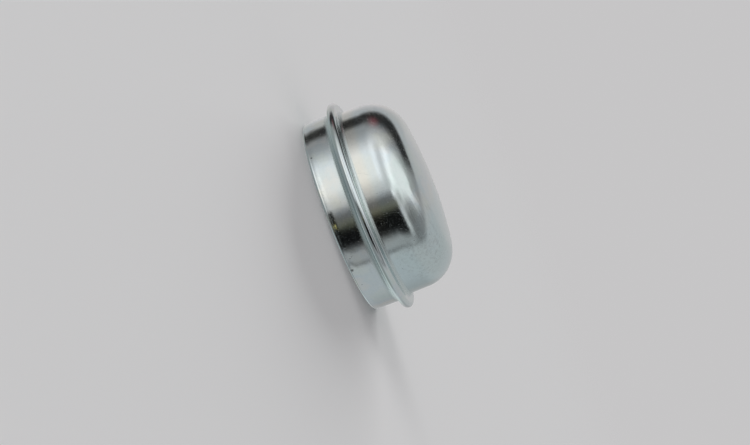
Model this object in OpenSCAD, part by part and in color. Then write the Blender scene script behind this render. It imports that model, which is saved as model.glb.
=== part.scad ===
// Hub grease cap: a cup pressed from one sheet of plated steel.
// It stands on its open rim. The Z axis is the axis of the cup and points to
// the closed end, and z = 0 is the plane of the rim.
//
// The sheet has one thickness all over. From the rim it runs up the press-in
// skirt, bends out into the collar, folds back on itself, bends up into the
// body wall, and closes over the corner radius and the lightly domed end.

/* [Sheet] */
// Thickness of the sheet
sheet_t = 1; // [0.6:0.05:1.4]
// Gap left inside the folded collar
fold_gap = 0.12; // [0.06:0.02:0.4]

/* [Skirt] */
// Outside diameter of the press-in skirt
skirt_d = 50; // [44:0.1:56]
// Height of the collar's middle plane above the rim
collar_z = 8.3; // [6.5:0.1:12]
// How far the lip is drawn in at the rim
lip_draw = 0.1; // [0.02:0.02:0.3]
// Height over which the lip is drawn in
lip_h = 1.9; // [1.2:0.1:2.6]
// Rounding of the rim's outer edge, as a share of the sheet's thickness
rim_outer = 0.45; // [0.2:0.05:0.6]
// Rounding of the rim's inner edge, as a share of the sheet's thickness
rim_inner = 0.15; // [0.05:0.05:0.25]

/* [Collar] */
// How far the folded collar stands out from the skirt
collar_out = 2.5; // [2.3:0.1:4]
// Bend radius between skirt and collar, on the outside of the cap
skirt_bend_r = 1.2; // [0.6:0.1:1.4]
// Bend radius between collar and body, on the outside of the cap
body_bend_r = 1.1; // [0.6:0.1:1.4]

/* [Body] */
// How much smaller than the skirt the body is, on the radius
body_step = 0.7; // [0:0.05:1.5]
// Taper of the body wall, in degrees a side
body_taper = 1; // [0.2:0.1:3]
// Height of the end's middle above the collar's middle plane
body_h = 16.6; // [16:0.1:30]
// Outside radius of the corner between wall and end
corner_r = 9.2; // [4:0.1:10]
// Outside radius of the domed end
crown_r = 112; // [80:1:400]

/* [Hidden] */
$fn = 180;

skirt_r = skirt_d / 2;
collar_r = skirt_r + collar_out;
body_r = skirt_r - body_step;
cap_h = collar_z + body_h;
rim_a = rim_outer * sheet_t;
rim_b = rim_inner * sheet_t;
lip_r = skirt_r - lip_draw;
gap = fold_gap / 2;              // half of the gap inside the fold
fold_r = sheet_t + gap;          // half of the collar's thickness
collar_lo = collar_z - fold_r;   // face of the collar towards the rim
collar_hi = collar_z + fold_r;   // face of the collar towards the end
flat_r = collar_r - fold_r;      // where the collar's rounded edge begins

// Bend between skirt and collar: its radius, and the middle of its arc
bend_a = min(skirt_bend_r, flat_r - skirt_r - 0.05);
bend_a_c = [skirt_r + bend_a, collar_lo - bend_a];

// The body wall is a straight line with outward normal wall_n and direction
// wall_t. It passes through radius body_r on the height of its bend's middle.
bend_b = min(body_bend_r, flat_r - body_r - 0.05);
wall_n = [cos(body_taper), sin(body_taper)];
wall_t = [-sin(body_taper), cos(body_taper)];
wall_q = [body_r, collar_hi + bend_b];
bend_b_c = [body_r + bend_b / cos(body_taper), wall_q[1]];

// The corner's arc touches the wall and the domed end from inside. Its middle
// lies on a line parallel to the wall, corner_r away from it, and is
// crown_r - corner_r from the middle of the dome.
crown_c = [0, cap_h - crown_r];
line_p = (wall_q * wall_n - corner_r) * wall_n;
line_b = wall_t * (line_p - crown_c);
line_k = (line_p - crown_c) * (line_p - crown_c) - pow(crown_r - corner_r, 2);
corner_c = line_p + (sqrt(line_b * line_b - line_k) - line_b) * wall_t;
crown_n = (corner_c - crown_c) / norm(corner_c - crown_c);

// Two shapes that should only touch are made to cross by this much, so that
// their union is one clean shape.
weld = 0.0003;

// Everything under the skin that lies d inside the outer surface, from the
// middle of the collar up over the body: d = 0 for the outside of the sheet,
// and d = sheet_t for its inside
module body_region(d) {
    wall_top = corner_c + (corner_r - d) * wall_n;
    wall_foot = wall_top + (collar_z - wall_top[1]) / wall_t[1] * wall_t;
    crown_edge = corner_c + (corner_r - d) * crown_n;
    // inside the wall
    polygon([
        [0, collar_z], wall_foot, wall_top, corner_c, [0, corner_c[1]]
    ]);
    // inside the corner
    translate(corner_c) circle(corner_r - d + weld, $fn = 360);
    // inside the domed end
    intersection() {
        translate(crown_c) circle(crown_r - d, $fn = 1440);
        translate([0, collar_z]) square([crown_edge[0], cap_h]);
    }
}

// What fills the hollow of a bend, from the wall with outward normal n to the
// collar's middle plane, out to the arc of radius r about c. The outline runs
// anticlockwise for a bend above that plane and for one below it.
module bend_region(c, r, n) {
    foot = c - r * n;
    outline = [
        [foot[0] - 1, collar_z], [c[0], collar_z], c, foot,
        [foot[0] - 1, foot[1]]
    ];
    difference() {
        polygon(c[1] > collar_z ? outline : [for (i = [4:-1:0]) outline[i]]);
        translate(c) circle(r + weld);
    }
}

// Everything inside the outer surface
module outer_region() {
    // skirt with its drawn-in lip
    polygon([
        [0, 0], [lip_r - rim_a, 0], [lip_r - rim_a, rim_a], [lip_r, rim_a],
        [skirt_r, lip_h], [skirt_r, collar_z], [0, collar_z]
    ]);
    translate([lip_r - rim_a, rim_a]) circle(rim_a);
    // collar with its fully rounded edge
    translate([0, collar_lo]) square([flat_r, 2 * fold_r]);
    translate([flat_r, collar_z]) circle(fold_r);
    // bends on both sides of the collar
    bend_region(bend_a_c, bend_a, [1, 0]);
    bend_region(bend_b_c, bend_b, wall_n);
    body_region(0);
}

// Everything inside the inner surface
module inner_region() {
    // bore of the skirt
    polygon([
        [0, -1], [lip_r - sheet_t, -1], [lip_r - sheet_t, rim_a],
        [skirt_r - sheet_t, lip_h], [skirt_r - sheet_t, collar_z],
        [0, collar_z]
    ]);
    // rounded inner edge of the rim
    difference() {
        translate([lip_r - sheet_t - 0.1, -0.1])
            square([rim_b + 0.1, rim_b + 0.1]);
        translate([lip_r - sheet_t + rim_b, rim_b]) circle(rim_b);
    }
    // gap left in the fold
    translate([0, collar_z - gap]) square([flat_r, fold_gap]);
    translate([flat_r, collar_z]) circle(gap);
    // inner side of the two bends, which run into the gap
    bend_region(bend_a_c, bend_a + sheet_t, [1, 0]);
    bend_region(bend_b_c, bend_b + sheet_t, wall_n);
    body_region(sheet_t);
}

// The cap: the sheet between its two surfaces, turned about the axis
module cap_shell() {
    color([0.80, 0.82, 0.82])
        rotate_extrude()
            difference() {
                outer_region();
                inner_region();
            }
}

cap_shell();
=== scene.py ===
import math

import bpy
from mathutils import Matrix, Vector


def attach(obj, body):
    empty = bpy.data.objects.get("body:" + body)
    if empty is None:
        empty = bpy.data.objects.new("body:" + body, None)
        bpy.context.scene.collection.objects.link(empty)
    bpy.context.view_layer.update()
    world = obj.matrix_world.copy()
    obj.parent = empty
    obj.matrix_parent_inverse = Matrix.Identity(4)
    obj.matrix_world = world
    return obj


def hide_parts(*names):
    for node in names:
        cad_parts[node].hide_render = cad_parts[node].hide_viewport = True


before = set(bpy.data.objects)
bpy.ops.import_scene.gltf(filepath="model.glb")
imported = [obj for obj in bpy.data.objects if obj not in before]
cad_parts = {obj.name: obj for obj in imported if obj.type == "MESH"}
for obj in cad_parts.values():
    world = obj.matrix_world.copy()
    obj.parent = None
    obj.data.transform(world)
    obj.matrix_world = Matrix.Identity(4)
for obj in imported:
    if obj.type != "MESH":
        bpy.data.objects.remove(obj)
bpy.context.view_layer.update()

MM = 0.001
scene = bpy.context.scene


# ---------------------------------------------------------------- node helpers
def link(tree, a, b):
    tree.links.new(a, b)


class Nodes:
    """Short calls that add nodes to a tree. A plain number or tuple in place of
    a socket is set on the node's own input."""

    def __init__(self, tree):
        self.tree = tree

    def add(self, kind, **props):
        n = self.tree.nodes.new(kind)
        for k, v in props.items():
            setattr(n, k, v)
        return n

    def put(self, socket, value):
        if isinstance(value, bpy.types.NodeSocket):
            self.tree.links.new(value, socket)
        elif value is not None:
            socket.default_value = value

    def math(self, op, a, b=None, c=None, clamp=False):
        n = self.add("ShaderNodeMath", operation=op, use_clamp=clamp)
        for i, v in enumerate((a, b, c)):
            self.put(n.inputs[i], v)
        return n.outputs[0]

    def vmath(self, op, a, b=None):
        n = self.add("ShaderNodeVectorMath", operation=op)
        self.put(n.inputs[0], a)
        self.put(n.inputs[1], b)
        return n.outputs["Value"] if op in ("DOT_PRODUCT", "LENGTH") else n.outputs["Vector"]

    def step(self, x, lo, hi, smooth=True):
        """0 below lo, 1 above hi, falling if hi < lo."""
        n = self.add("ShaderNodeMapRange", clamp=True)
        n.interpolation_type = "SMOOTHSTEP" if smooth else "LINEAR"
        self.put(n.inputs["Value"], x)
        flip = hi < lo
        n.inputs["From Min"].default_value = hi if flip else lo
        n.inputs["From Max"].default_value = lo if flip else hi
        n.inputs["To Min"].default_value = 1.0 if flip else 0.0
        n.inputs["To Max"].default_value = 0.0 if flip else 1.0
        return n.outputs["Result"]

    def span(self, x, lo, hi, out_lo, out_hi):
        n = self.add("ShaderNodeMapRange", clamp=True)
        self.put(n.inputs["Value"], x)
        n.inputs["From Min"].default_value = lo
        n.inputs["From Max"].default_value = hi
        n.inputs["To Min"].default_value = out_lo
        n.inputs["To Max"].default_value = out_hi
        return n.outputs["Result"]

    def mix(self, fac, a, b, how="MIX"):
        n = self.add("ShaderNodeMix", data_type="RGBA", blend_type=how, clamp_factor=True)
        self.put(n.inputs["Factor"], fac)
        for i, v in ((6, a), (7, b)):
            if isinstance(v, tuple) and len(v) == 3:
                v = (*v, 1.0)
            self.put(n.inputs[i], v)
        return n.outputs[2]

    def noise(self, vector, scale, detail=2.0, rough=0.5, kind="3D", w=None, distort=0.0):
        n = self.add("ShaderNodeTexNoise", noise_dimensions=kind)
        if vector is not None:
            self.put(n.inputs["Vector"], vector)
        n.inputs["Scale"].default_value = scale
        n.inputs["Detail"].default_value = detail
        n.inputs["Roughness"].default_value = rough
        n.inputs["Distortion"].default_value = distort
        if w is not None:
            self.put(n.inputs["W"], w)
        return n.outputs[0]

    def ramp(self, x, stops, how="LINEAR"):
        n = self.add("ShaderNodeValToRGB")
        r = n.color_ramp
        r.interpolation = how
        while len(r.elements) < len(stops):
            r.elements.new(0.5)
        for e, (at, col) in zip(r.elements, stops):
            e.position = at
            e.color = (*col, 1.0) if isinstance(col, tuple) else (col, col, col, 1.0)
        self.put(n.inputs[0], x)
        return n.outputs[0]

    def xyz(self, x, y, z):
        n = self.add("ShaderNodeCombineXYZ")
        for i, v in enumerate((x, y, z)):
            self.put(n.inputs[i], v)
        return n.outputs[0]

    def split(self, v):
        n = self.add("ShaderNodeSeparateXYZ")
        self.put(n.inputs[0], v)
        return n.outputs


# ---------------------------------------------------------------- the camera
# The cap stands on its rim in this frame. In the photograph it lies on its side
# with its axis pointing to the right, a little up and slightly towards the
# lens, so the camera is rolled. AXIS is the cap's axis and CENTRE the middle of
# its rim, both as the camera sees them: x right, y up, z back to the lens.
TURN, TIP = math.radians(21.096), math.radians(6.437)
AXIS = Vector((math.cos(TURN) * math.cos(TIP), math.sin(TURN) * math.cos(TIP), math.sin(TIP)))
CENTRE = Vector((-8.732, 1.409, -505.155)) * MM
CAMERA_AZIMUTH = math.radians(-11.0)

near = (Vector((0, 0, 1)) - AXIS.z * AXIS).normalized()  # across the cap, to the lens
side = AXIS.cross(near)  # across the cap, to the lower right of the picture
near_row = Vector((math.cos(CAMERA_AZIMUTH), math.sin(CAMERA_AZIMUTH), 0))
side_row = Vector((-math.sin(CAMERA_AZIMUTH), math.cos(CAMERA_AZIMUTH), 0))
up_row = Vector((0, 0, 1))


def to_row(v):
    """A direction from the camera's axes to the cap's."""
    return v.dot(AXIS) * up_row + v.dot(near) * near_row + v.dot(side) * side_row


cam_data = bpy.data.cameras.new("camera")
cam = bpy.data.objects.new("camera", cam_data)
scene.collection.objects.link(cam)
columns = [to_row(Vector(v)) for v in ((1, 0, 0), (0, 1, 0), (0, 0, 1))]
turn = Matrix(columns).transposed()
cam.matrix_world = Matrix.Translation(-to_row(CENTRE)) @ turn.to_4x4()
cam_data.sensor_width = 36.0
cam_data.lens = 96.0
cam_data.clip_start = 0.01
cam_data.clip_end = 100.0
scene.camera = cam


# ---------------------------------------------------------------- the cap
def arc(c, r, a0, a1, n):
    """Points of an arc with their directions from its middle, degrees."""
    out = []
    for i in range(n + 1):
        t = math.radians(a0 + (a1 - a0) * i / n)
        out.append((c[0] + r * math.cos(t), c[1] + r * math.sin(t), math.cos(t), math.sin(t)))
    return out


def hollow(pts):
    """The same points with normals that face the arc's middle."""
    return [(r, z, -nr, -nz) for r, z, nr, nz in pts]


TAPER = math.radians(1.0)
WALL_N = (math.cos(TAPER), math.sin(TAPER))
CORNER_C, CROWN_C = (15.0264, 14.5959), (0.0, -87.1)
BEND_A, BEND_B, EDGE = (26.2, 6.04), (25.4002, 10.46), (26.44, 8.3)
TANGENT = math.degrees(math.atan2(CORNER_C[1] - CROWN_C[1], CORNER_C[0] - CROWN_C[0]))


def outside():
    """The outer surface's outline in mm, from the rim to the middle of the end:
    radius, height and normal."""
    pts = arc((24.45, 0.45), 0.45, -90, 0, 7)
    for k in range(1, 6):
        z = 0.45 + 1.75 * k / 5
        slope = 0.13 * (1 - k / 5)
        pts.append((25.0 - 0.1 * (1 - k / 5) ** 2, z, 1, -slope))
    pts += hollow(arc(BEND_A, 1.2, 180, 90, 24))
    pts += arc(EDGE, 1.06, -90, 90, 26)
    pts += hollow(arc(BEND_B, 1.1, 270, 181, 24))
    pts += arc(CORNER_C, 9.2, 1.0, TANGENT, 40)
    pts += arc(CROWN_C, 112.0, TANGENT, 90, 8)[1:]
    return pts


def inside():
    """The inner surface's outline, from the middle of the end to the rim."""
    pts = hollow(arc(CROWN_C, 111.0, 90, TANGENT, 8))
    pts += hollow(arc(CORNER_C, 8.2, TANGENT, 1.0, 18)[1:])
    pts += arc(BEND_B, 2.1, 181, 270, 7)
    pts += [(BEND_B[0] + 0.3, 8.36, 0, -1)]
    pts += hollow(arc(EDGE, 0.06, 90, -90, 4))
    pts += [(BEND_A[0] + 0.1, 8.24, 0, 1)]
    pts += arc(BEND_A, 2.2, 90, 180, 7)
    pts += [(24.0, 1.9, -1, 0.03), (23.9, 0.45, -1, 0.05)]
    pts += [
        (24.05 - 0.15 * math.cos(math.radians(t)), 0.15 - 0.15 * math.sin(math.radians(t)),
         -math.cos(math.radians(t)), -math.sin(math.radians(t)))
        for t in (0, 30, 60, 90)
    ]
    return pts


ROUND = 512  # faces round the cap


def revolve(name, outline):
    """A closed surface of revolution about Z from an outline whose first and
    last rows meet at the rim and which touches the axis in between."""
    verts, normals, faces = [], [], []
    rows = []
    for r, z, nr, nz in outline:
        if r < 1e-6:
            rows.append([len(verts)])
            verts.append((0, 0, z * MM))
            normals.append((0, 0, math.copysign(1, nz)))
            continue
        rows.append(list(range(len(verts), len(verts) + ROUND)))
        k = 1 / math.hypot(nr, nz)
        for i in range(ROUND):
            t = 2 * math.pi * i / ROUND
            c, s = math.cos(t), math.sin(t)
            verts.append((r * c * MM, r * s * MM, z * MM))
            normals.append((nr * c * k, nr * s * k, nz * k))
    rows.append(rows[0])
    for a, b in zip(rows, rows[1:]):
        if len(a) == 1 and len(b) == 1:
            continue
        for i in range(ROUND):
            j = (i + 1) % ROUND
            if len(b) == 1:
                faces.append((a[i], a[j], b[0]))
            elif len(a) == 1:
                faces.append((a[0], b[j], b[i]))
            else:
                faces.append((a[i], a[j], b[j], b[i]))
    me = bpy.data.meshes.new(name)
    me.from_pydata(verts, [], faces)
    me.update()
    for p in me.polygons:
        p.use_smooth = True
    me.normals_split_custom_set_from_vertices(normals)
    ob = bpy.data.objects.new(name, me)
    scene.collection.objects.link(ob)
    return ob


shell = revolve("pressed_cap", outside() + inside())
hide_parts("cap_shell")
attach(shell, "root")


# ---------------------------------------------------------------- zinc plate
# Everything is laid out by the place on the cap: the radius and the height in
# mm, and a direction about the axis that has no seam.
mat = bpy.data.materials.new("zinc_plate")
mat.use_nodes = True
mat.node_tree.nodes.clear()
N = Nodes(mat.node_tree)
out = N.add("ShaderNodeOutputMaterial")
bsdf = N.add("ShaderNodeBsdfPrincipled")
link(mat.node_tree, bsdf.outputs[0], out.inputs[0])
bsdf.inputs["Metallic"].default_value = 1.0

pos = N.vmath("MULTIPLY", N.add("ShaderNodeTexCoord").outputs["Object"], (1000.0, 1000.0, 1000.0))
px, py, pz = N.split(pos)
rad = N.vmath("LENGTH", N.xyz(px, py, 0.0))
ux, uy = N.math("DIVIDE", px, rad), N.math("DIVIDE", py, rad)
run = N.math("SUBTRACT", pz, rad)  # rises along the outline, wall and end alike


def less(a, b):
    return N.math("SUBTRACT", a, b)


def times(*values):
    m = values[0]
    for v in values[1:]:
        m = N.math("MULTIPLY", m, v)
    return m


def plus(*values):
    m = values[0]
    for v in values[1:]:
        m = N.math("ADD", m, v)
    return m


def centred(x, gain):
    """A noise of middle 0.5 as a signed amount."""
    return N.math("MULTIPLY", less(x, 0.5), gain)


def place(turn_deg, radius, z):
    """A point of the cap in mm, its bearing measured from the lens."""
    a = CAMERA_AZIMUTH + math.radians(turn_deg)
    return (radius * math.cos(a), radius * math.sin(a), z)


def spot(turn_deg, radius, z, size, soft=1.0, rag=0.0, stretch=(1.0, 1.0, 1.0)):
    """1 in a round spot at that place, 0 outside, with a ragged edge."""
    off = N.vmath("SUBTRACT", pos, place(turn_deg, radius, z))
    if stretch != (1.0, 1.0, 1.0):
        off = N.vmath("MULTIPLY", off, stretch)
    d = N.vmath("LENGTH", off)
    if rag:
        d = plus(d, centred(N.noise(pos, 2.0, 3.0), rag))
    return N.step(d, size * (1 + soft), size * (1 - min(soft, 0.95)))


# which side of the sheet: 0 outside, 1 inside
dome = N.math("DIVIDE", less(225.0, N.math("POWER", N.math("MINIMUM", rad, 15.0), 2.0)), 224.0)
over = N.math("MAXIMUM", less(less(pz, dome), 14.596), 0.0)
out_by = N.math("MAXIMUM", less(rad, 15.026), 0.0)
depth = less(N.vmath("LENGTH", N.xyz(out_by, over, 0.0)), 9.2)
skirt = N.step(pz, 7.6, 7.0)
depth = plus(times(depth, less(1.0, skirt)), times(less(rad, 25.0), skirt))
inner = N.step(depth, -0.4, -0.65)

# patterns: fine grain, slow unevenness, and marks of drawing round the cap
grain = N.noise(pos, 3.2, 3.0, 0.6)
fine = N.noise(pos, 7.0, 2.0, 0.6)
slow = N.noise(pos, 0.22, 2.0, 0.5)
cloud = N.noise(pos, 0.55, 3.0, 0.55)
ring = N.noise(N.xyz(times(ux, 5.0), times(uy, 5.0), times(run, 3.4)), 1.0, 3.0, 0.6)
hair = N.noise(N.xyz(times(ux, 2.2), times(uy, 2.2), times(run, 9.0)), 1.0, 2.0, 0.6)
# the corner between wall and end was dressed with an abrasive: its marks run a
# little askew round the cap
askew = plus(run, times(ux, -2.0), times(uy, -5.0))
dress = N.noise(N.xyz(times(ux, 4.0), times(uy, 4.0), times(askew, 1.15)), 1.0, 3.0, 0.55)
mottle = N.noise(pos, 1.3, 3.0, 0.6)
corner = times(N.step(pz, 15.5, 18.5), N.step(rad, 12.0, 17.0), less(1.0, inner))

# pits in the plate, more of them on one side of the corner
cells = N.add("ShaderNodeTexVoronoi")
link(mat.node_tree, pos, cells.inputs["Vector"])
cells.inputs["Scale"].default_value = 1.15
pick = N.split(cells.outputs["Color"])
dirty = N.step(N.vmath("LENGTH", N.vmath("MULTIPLY", N.vmath("SUBTRACT", pos, place(46, 21.5, 17.5)), (1.0, 1.0, 1.3))), 11.0, 5.0)
size = N.span(pick[1], 0, 1, 0.03, 0.17)
chosen = N.math("GREATER_THAN", pick[0], less(0.965, times(dirty, 0.30)))
pit = times(N.step(less(cells.outputs["Distance"], size), 0.07, -0.03), chosen, less(1.0, inner))

# where the dressing of the corner shows most
rubbed = N.step(N.vmath("LENGTH", N.vmath("SUBTRACT", pos, place(19, 22.0, 19.0))), 8.5, 3.5)

# a smudge near the corner, two dark marks at the lip and a few scratches
smudge = times(spot(-31.5, 22.3, 20.5, 1.5, 0.95, 1.6, (1.0, 1.0, 0.6)), less(1.0, inner))
marks = N.math("MAXIMUM", spot(-39.0, 24.9, 1.0, 0.24, 0.7, 0.3), spot(32.2, 24.8, 0.7, 0.30, 0.8, 0.4))


def scratch_at(turn_deg, at_run, length, width, tilt_deg, bow=0.0):
    """A fine scratch across the unrolled surface, in mm: its middle, length,
    width, slope and how far it bows."""
    a = CAMERA_AZIMUTH + math.radians(turn_deg)
    toward = N.vmath("DOT_PRODUCT", N.xyz(ux, uy, 0.0), (math.cos(a), math.sin(a), 0))
    across = N.vmath("DOT_PRODUCT", N.xyz(ux, uy, 0.0), (-math.sin(a), math.cos(a), 0))
    x = times(N.math("ARCTAN2", across, toward), rad)
    y = less(run, at_run)
    c, k = math.cos(math.radians(tilt_deg)), math.sin(math.radians(tilt_deg))
    along = plus(times(x, c), times(y, k))
    off = less(times(y, c), times(x, k))
    off = plus(off, times(N.math("POWER", along, 2.0), bow))
    return times(N.step(N.math("ABSOLUTE", off), width, width * 0.3), N.step(N.math("ABSOLUTE", along), length * 0.5, length * 0.3))


scratch = scratch_at(-18, -12.5, 7.0, 0.06, 62, 0.02)
for turn_deg, at_run, length, width, tilt_deg, bow in (
    (-47, -21.0, 5.0, 0.05, 35, -0.03),
    (9, -9.2, 6.0, 0.05, 75, 0.02),
    (38, -6.0, 9.0, 0.06, 24, 0.01),
    (72, -11.0, 7.5, 0.05, 50, -0.02),
    (128, 6.0, 11.0, 0.06, 30, 0.015),
    (170, -20.5, 6.0, 0.05, -20, 0.02),
    (-110, -10.0, 8.0, 0.06, 66, -0.01),
):
    scratch = N.math("MAXIMUM", scratch, scratch_at(turn_deg, at_run, length, width, tilt_deg, bow))
scratch = times(scratch, N.step(grain, 0.30, 0.55), less(1.0, inner))
grit = N.step(grain, 0.50, 0.74)

# the plate's own colour: a cool grey with faint green, blue, violet and
# straw-coloured clouds, creamier next to the collar and bluer further up
shade = N.ramp(plus(N.noise(pos, 0.11, 3.0, 0.55), centred(grain, 0.10)), [
    (0.34, (0.69, 0.785, 0.77)),
    (0.44, (0.725, 0.795, 0.79)),
    (0.52, (0.69, 0.77, 0.80)),
    (0.60, (0.745, 0.785, 0.79)),
    (0.68, (0.765, 0.80, 0.765)),
])
# painted shade: the side of the cap away from the lights is painted darker and bluer
shaded_side = N.step(N.vmath("DOT_PRODUCT", N.xyz(ux, uy, 0.0), tuple(side_row)), 0.15, 0.55)
lit_side = less(1.0, shaded_side)
neck = times(lit_side, N.step(pz, 9.6, 10.4), N.step(pz, 14.2, 11.6))
shade = N.mix(times(neck, 0.8), shade, (0.795, 0.79, 0.74))
upper = times(lit_side, N.step(pz, 12.4, 14.4), N.step(pz, 18.5, 15.5))
shade = N.mix(times(upper, 0.5), shade, (0.70, 0.77, 0.80))
# painted shade on the side away from the lights
shade = N.mix(times(shaded_side, N.step(pz, 9.4, 11.0), 0.7), shade, (0.66, 0.785, 0.805))
# painted shade: the two bends either side of the collar are painted darker, standing in for dark reflections in
# these creases
bend = N.math("MAXIMUM", times(N.step(pz, 5.5, 6.2), N.step(pz, 7.3, 7.0)), times(N.step(pz, 9.3, 9.6), N.step(pz, 10.6, 10.2)))
shade = N.mix(times(bend, 0.6), shade, (0.63, 0.725, 0.725))
# painted shade: the inside of the cup is painted darker
shade = N.mix(inner, shade, (0.60, 0.625, 0.625))
dull = plus(times(N.step(fine, 0.55, 0.75), 0.10), times(N.step(ring, 0.56, 0.74), 0.10), times(scratch, 0.35))
dull = plus(dull, times(corner, N.step(dress, 0.48, 0.70), N.span(rubbed, 0, 1, 0.06, 0.45)))
dull = plus(dull, times(dirty, N.step(mottle, 0.42, 0.70), 0.30), times(N.step(mottle, 0.5, 0.75), 0.08))
shade = N.mix(dull, shade, (0.42, 0.45, 0.46))
shade = N.mix(times(pit, 0.6), shade, (0.22, 0.24, 0.24))
shade = N.mix(times(smudge, 0.4), shade, (0.30, 0.33, 0.34))
shade = N.mix(times(marks, 0.9), shade, (0.10, 0.10, 0.10))
link(mat.node_tree, shade, bsdf.inputs["Base Color"])

rough = N.span(cloud, 0.3, 0.7, 0.075, 0.125)
rough = plus(rough, times(N.step(slow, 0.4, 0.65), 0.02), times(N.step(hair, 0.45, 0.7), 0.03), times(bend, 0.16))
rough = plus(rough, times(corner, N.step(dress, 0.5, 0.7), 0.05), times(dirty, 0.04), times(inner, 0.16), times(scratch, 0.15), times(grit, 0.16))
rough = plus(rough, times(pit, 0.25), times(smudge, 0.12), times(marks, 0.4))
link(mat.node_tree, N.math("MINIMUM", rough, 0.6), bsdf.inputs["Roughness"])

# relief in mm
calm = N.span(bend, 0, 1, 1.0, 0.3)
relief = plus(times(centred(grain, 0.0030), calm), times(centred(fine, 0.0007), calm), centred(slow, 0.030), centred(cloud, 0.010))
relief = plus(relief, times(centred(ring, 0.0016), calm), times(centred(hair, 0.0007), calm), times(corner, centred(dress, 0.009)))
relief = plus(relief, times(pit, -0.012), times(scratch, -0.003), times(smudge, centred(cloud, 0.012)))
bump = N.add("ShaderNodeBump")
bump.inputs["Strength"].default_value = 1.0
bump.inputs["Distance"].default_value = 0.001
link(mat.node_tree, relief, bump.inputs["Height"])
link(mat.node_tree, bump.outputs[0], bsdf.inputs["Normal"])
shell.data.materials.append(mat)


# ---------------------------------------------------------------- the stage
floor_me = bpy.data.meshes.new("floor")
R = 3.0
ring = [(R * math.cos(2 * math.pi * i / 96), R * math.sin(2 * math.pi * i / 96), 0) for i in range(96)]
floor_me.from_pydata(ring, [], [tuple(range(96))])
floor = bpy.data.objects.new("floor", floor_me)
scene.collection.objects.link(floor)
floor.visible_glossy = False
fm = bpy.data.materials.new("floor")
fm.use_nodes = True
fm.node_tree.nodes.clear()
F = Nodes(fm.node_tree)
f_out = F.add("ShaderNodeOutputMaterial")
f_dif = F.add("ShaderNodeBsdfDiffuse")
f_dif.inputs["Color"].default_value = (0.8, 0.8, 0.8, 1)
f_clear = F.add("ShaderNodeBsdfTransparent")
f_mix = F.add("ShaderNodeMixShader")
far = F.step(F.vmath("LENGTH", F.add("ShaderNodeTexCoord").outputs["Object"]), 0.35, 1.6)
F.put(f_mix.inputs[0], far)
F.put(f_mix.inputs[1], f_dif.outputs[0])
F.put(f_mix.inputs[2], f_clear.outputs[0])
F.put(f_out.inputs[0], f_mix.outputs[0])
floor_me.materials.append(fm)


# ---------------------------------------------------------------- the light
# The metal mirrors a studio that is painted here by direction: a pale table
# on one side, a soft ceiling light with two brighter strips, a dark wall above
# the table's far edge and the dark shape of the stand that holds the camera.
# Angles are in degrees. "round" goes about the cap's axis and "height" is the
# elevation above the rim's plane. "above" is the elevation over the table and
# "about" the bearing along the table's edge.
TABLE_BEARING = CAMERA_AZIMUTH - math.radians(34.0)
TABLE_TIP = math.radians(24.4)

world = bpy.data.worlds.new("studio")
scene.world = world
world.use_nodes = True
world.node_tree.nodes.clear()
world.cycles.sampling_method = "NONE"
W = Nodes(world.node_tree)
look = W.add("ShaderNodeTexCoord").outputs["Generated"]
d_near = W.vmath("DOT_PRODUCT", look, (math.cos(TABLE_BEARING), math.sin(TABLE_BEARING), 0))
d_side = W.vmath("DOT_PRODUCT", look, (-math.sin(TABLE_BEARING), math.cos(TABLE_BEARING), 0))
d_up = W.split(look)[2]
DEG = 180 / math.pi


def degrees(x):
    return W.math("MULTIPLY", x, DEG)


round_ = degrees(W.math("ARCTAN2", d_side, d_near))
height = degrees(W.math("ARCSINE", d_up))
lift = W.math("ADD", W.math("MULTIPLY", d_near, math.cos(TABLE_TIP)), W.math("MULTIPLY", d_up, math.sin(TABLE_TIP)))
above = degrees(W.math("ARCSINE", lift))
along = W.math("SUBTRACT", W.math("MULTIPLY", d_up, math.cos(TABLE_TIP)), W.math("MULTIPLY", d_near, math.sin(TABLE_TIP)))
about = W.math("ABSOLUTE", degrees(W.math("ARCTAN2", along, d_side)))


def both(*masks):
    m = masks[0]
    for n in masks[1:]:
        m = W.math("MULTIPLY", m, n)
    return m


def bell(x, middle, half):
    off = W.math("ABSOLUTE", W.math("SUBTRACT", x, middle))
    return W.step(off, half, 0.0)


def tone(light, mask, value):
    """Moves the tone towards value where mask is 1."""
    n = W.add("ShaderNodeMix", data_type="FLOAT", clamp_factor=True)
    W.put(n.inputs[0], mask)
    W.put(n.inputs[2], light)
    W.put(n.inputs[3], value)
    return n.outputs[0]


S = W.step
# the room: a grey wall that brightens into the ceiling light
t = W.span(round_, -68, -28, 0.67, 0.88)
t = tone(t, both(bell(height, 19, 13), S(round_, -58, -30)), 0.765)
t = tone(t, both(S(round_, 4, 88), S(height, 42, 30)), 0.57)
t = tone(t, both(S(round_, 24, 76), S(height, 32, 42), S(height, 75, 58)), 0.50)
# three strip lights
t = tone(t, both(bell(height, 4, 11), S(round_, -48, -22), S(round_, 30, 2)), 0.94)
t = tone(t, both(bell(height, 35, 12), S(round_, -46, -26), S(round_, 36, 10)), 0.98)
t = tone(t, both(bell(height, -13, 5), S(round_, -56, -30), S(round_, 28, 14)), 0.97)
t = tone(t, both(bell(height, 31.5, 7), S(round_, 28, 40), S(round_, 98, 80)), 0.74)
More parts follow.
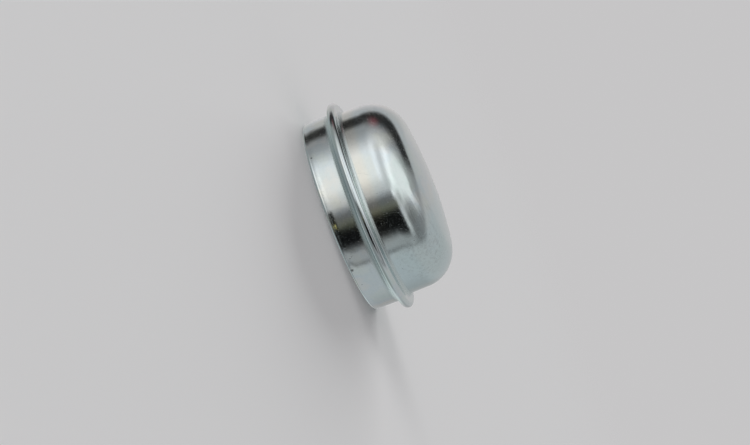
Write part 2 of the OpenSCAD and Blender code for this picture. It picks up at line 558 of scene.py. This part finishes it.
# the wall over the table's far edge: it is lower in the middle than at its
# ends, and one end is a dark doorway
edge = W.math("ADD", above, W.math("MULTIPLY", S(height, 6, -3), 3.5))
edge = W.math("ADD", edge, both(S(about, 105, 122), S(height, -3, 6), 1.8))
middle = bell(about, 86, 35)
top = W.math("ADD", above, W.math("MULTIPLY", middle, 18.0))
foot = W.math("SUBTRACT", edge, W.math("MULTIPLY", middle, 7.0))
wall = W.span(about, 44, 92, 0.43, 0.53)
t = tone(t, both(S(top, 52, 19), S(about, 26, 42)), wall)
lean = W.math("MULTIPLY", W.math("MAXIMUM", W.math("SUBTRACT", height, 22), 0.0), 0.38)
door_low = both(S(round_, -67, -80), S(height, 8, -3))
door_high = both(S(W.math("ADD", round_, lean), -60, -88), S(height, -3, 8))
t = tone(t, both(W.math("ADD", door_low, door_high), S(about, 105, 122)), 0.175)
# the stand with the camera
slant = W.math("SUBTRACT", round_, W.math("MULTIPLY", height, 0.3))
slant = W.math("ADD", slant, W.math("MULTIPLY", S(height, -4.8, -6.6), 2.2))
t = tone(t, both(S(round_, 0, 26), S(round_, 60, 50), S(height, 31, 22)), 0.70)
stand = both(S(round_, 21, 36), S(slant, 87, 69), S(height, 31, 22))
t = tone(t, stand, W.span(S(round_, 42, 55), 0, 1, 0.37, 0.09))
t = tone(t, both(S(round_, 23, 29), S(round_, 77, 67), S(height, -10.5, -13)), 0.08)
# a lamp seen past the top of the stand, with a dimmer gap above it
t = tone(t, both(bell(height, 39.5, 8.5), S(round_, 22, 37), S(round_, 54, 44)), 0.64)
t = tone(t, both(bell(round_, 30, 11), bell(height, 25.5, 7)), 0.98)
# the table, with a thin darker line along its edge
line = W.math("SUBTRACT", above, W.math("MULTIPLY", W.math("SUBTRACT", about, 37.0), 0.375))
t = tone(t, both(bell(line, 0, 7), S(about, 62, 46), S(height, -3, 8)), 0.45)
table = tone(0.65, both(bell(round_, -130, 26), bell(height, -2, 26)), 0.74)
t = tone(t, S(foot, 3, -8), table)
t = tone(t, both(bell(edge, -4, 5), S(about, 24, 12)), 0.44)
behind = W.math("ADD", S(round_, 138, 179), S(round_, -150, -172))
t = tone(t, both(behind, bell(height, -5, 13)), 0.58)
# the floor that the rim stands on, in shade on the lens's side
t = tone(t, S(height, -17, -22), tone(W.span(round_, 85, 115, 0.47, 0.53), S(round_, 20, -30), 0.54))
t = tone(t, both(bell(round_, -114, 26), S(height, -17, -23)), 0.62)
t = tone(t, S(height, -50, -70), 0.54)
t = tone(t, both(S(height, -12, -24), S(W.math("ABSOLUTE", round_), 145, 168)), 0.76)

# straight up, one tone from every side
t = tone(t, S(height, 80, 89), 0.58)

grey = W.math("MULTIPLY", W.math("POWER", t, 2.2), 1.22)
tint = W.mix(both(bell(round_, -128, 26), bell(height, 5, 24)), (1.0, 1.0, 1.0), (1.07, 1.0, 1.0))
tint = W.mix(both(stand, bell(round_, 46, 12)), tint, (1.08, 1.07, 0.80))
tint = W.mix(both(stand, S(round_, 36, 24)), tint, (0.96, 1.0, 1.03))
tint = W.mix(both(S(round_, -34, -14), S(round_, 30, 10), S(height, 3, -6)), tint, (1.03, 1.0, 0.95))
tint = W.mix(both(S(round_, 94, 112), S(height, 16, 0)), tint, (0.965, 1.0, 1.02))
tint = W.mix(S(height, -17, -22), tint, (0.93, 1.0, 0.995))
room = W.vmath("MULTIPLY", W.xyz(grey, grey, grey), tint)
# a small red lamp on the dark wall and a small warm one beside the stand
red = both(bell(round_, -76, 16), bell(height, 17.5, 13))
room = W.vmath("ADD", room, W.vmath("MULTIPLY", W.xyz(red, red, red), (0.13, 0.015, 0.025)))
warm = both(bell(round_, 43, 2.5), bell(height, -15.5, 2))
room = W.vmath("ADD", room, W.vmath("MULTIPLY", W.xyz(warm, warm, warm), (1.15, 1.0, 0.36)))

BACKDROP = (0.566, 0.560, 0.566)
AMBIENT = (0.395, 0.391, 0.398)
path = W.add("ShaderNodeLightPath").outputs
shown = W.mix(path["Is Diffuse Ray"], room, AMBIENT)
shown = W.mix(path["Is Camera Ray"], shown, BACKDROP)
w_bg = W.add("ShaderNodeBackground")
W.put(w_bg.inputs["Color"], shown)
w_out = W.add("ShaderNodeOutputWorld")
W.put(w_out.inputs[0], w_bg.outputs[0])


# two wide lights, seen only by what isn't a mirror: one low from behind, which
# lays a long soft shadow towards the lens, and one from the side
def sun(name, turn_deg, height_deg, wide_deg, power):
    """power: the light that falls on the floor, as a share of a white sky."""
    data = bpy.data.lights.new(name, "SUN")
    data.energy = power * math.pi / math.sin(math.radians(height_deg))
    data.angle = math.radians(wide_deg)
    ob = bpy.data.objects.new(name, data)
    scene.collection.objects.link(ob)
    a, e = CAMERA_AZIMUTH + math.radians(turn_deg), math.radians(height_deg)
    away = Vector((math.cos(a) * math.cos(e), math.sin(a) * math.cos(e), math.sin(e)))
    ob.rotation_mode = "QUATERNION"
    ob.rotation_quaternion = away.to_track_quat("Z", "Y")
    ob.visible_glossy = False
    return ob


sun("back_light", 188, 8.5, 22, 0.23)
sun("side_light", 255, 35, 30, 0.09)

scene.view_settings.view_transform = "Standard"
